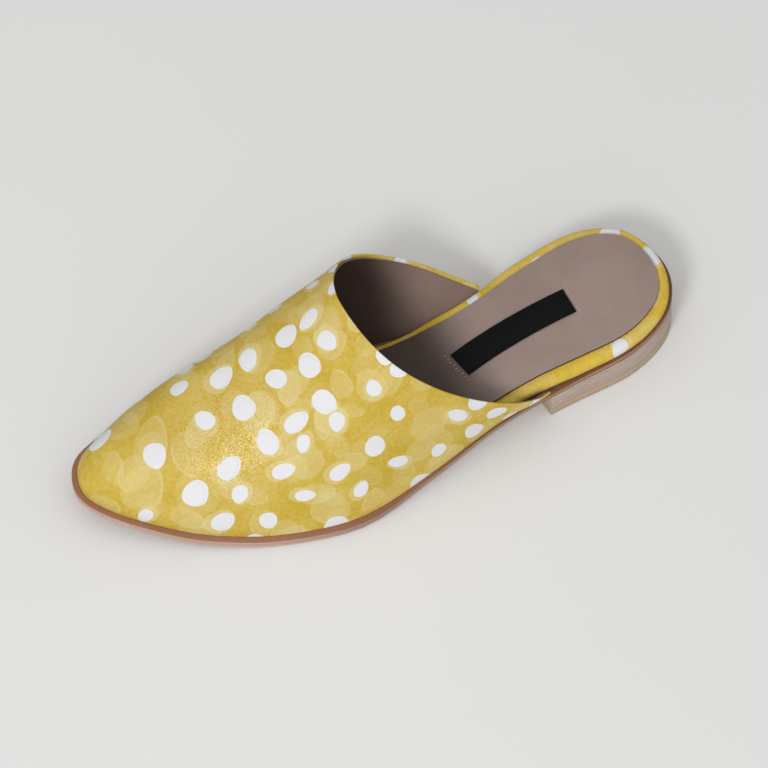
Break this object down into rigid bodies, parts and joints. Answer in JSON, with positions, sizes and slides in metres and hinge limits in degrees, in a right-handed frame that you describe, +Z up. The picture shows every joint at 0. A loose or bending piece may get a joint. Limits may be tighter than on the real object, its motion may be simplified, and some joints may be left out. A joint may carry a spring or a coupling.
{
  "type": "slide mule",
  "caption": "Backless flat slide mule for the left foot: closed almond toe, slanted open throat, padded wrapped footbed, thin waisted sole and low stacked heel.",
  "frame": {"origin": "under the middle of the shoe, on the floor that it stands on", "axes": "+X to the toe, +Y to the outer side of the left foot, +Z up"},
  "size_m": [0.2676, 0.0922, 0.0747],
  "materials": {
    "sole_leather": "burnished brown edge with a fine groove along the forefoot",
    "heel_leather": "stacked layers, matte taupe",
    "heel_rubber": "matte tan wearing layer",
    "spotted_leather": "shimmering mustard yellow leather printed with white ovals and pale discs",
    "sock_leather": "smooth matte taupe",
    "label_cloth": "plain black woven"
  },
  "bodies": {
    "root": {"outsole": "sole_leather", "heel_block": "heel_leather", "heel_top_piece": "heel_rubber", "footbed": "spotted_leather", "insole_sock": "sock_leather", "upper": "spotted_leather", "label": "label_cloth"}
  },
  "joints": []
}
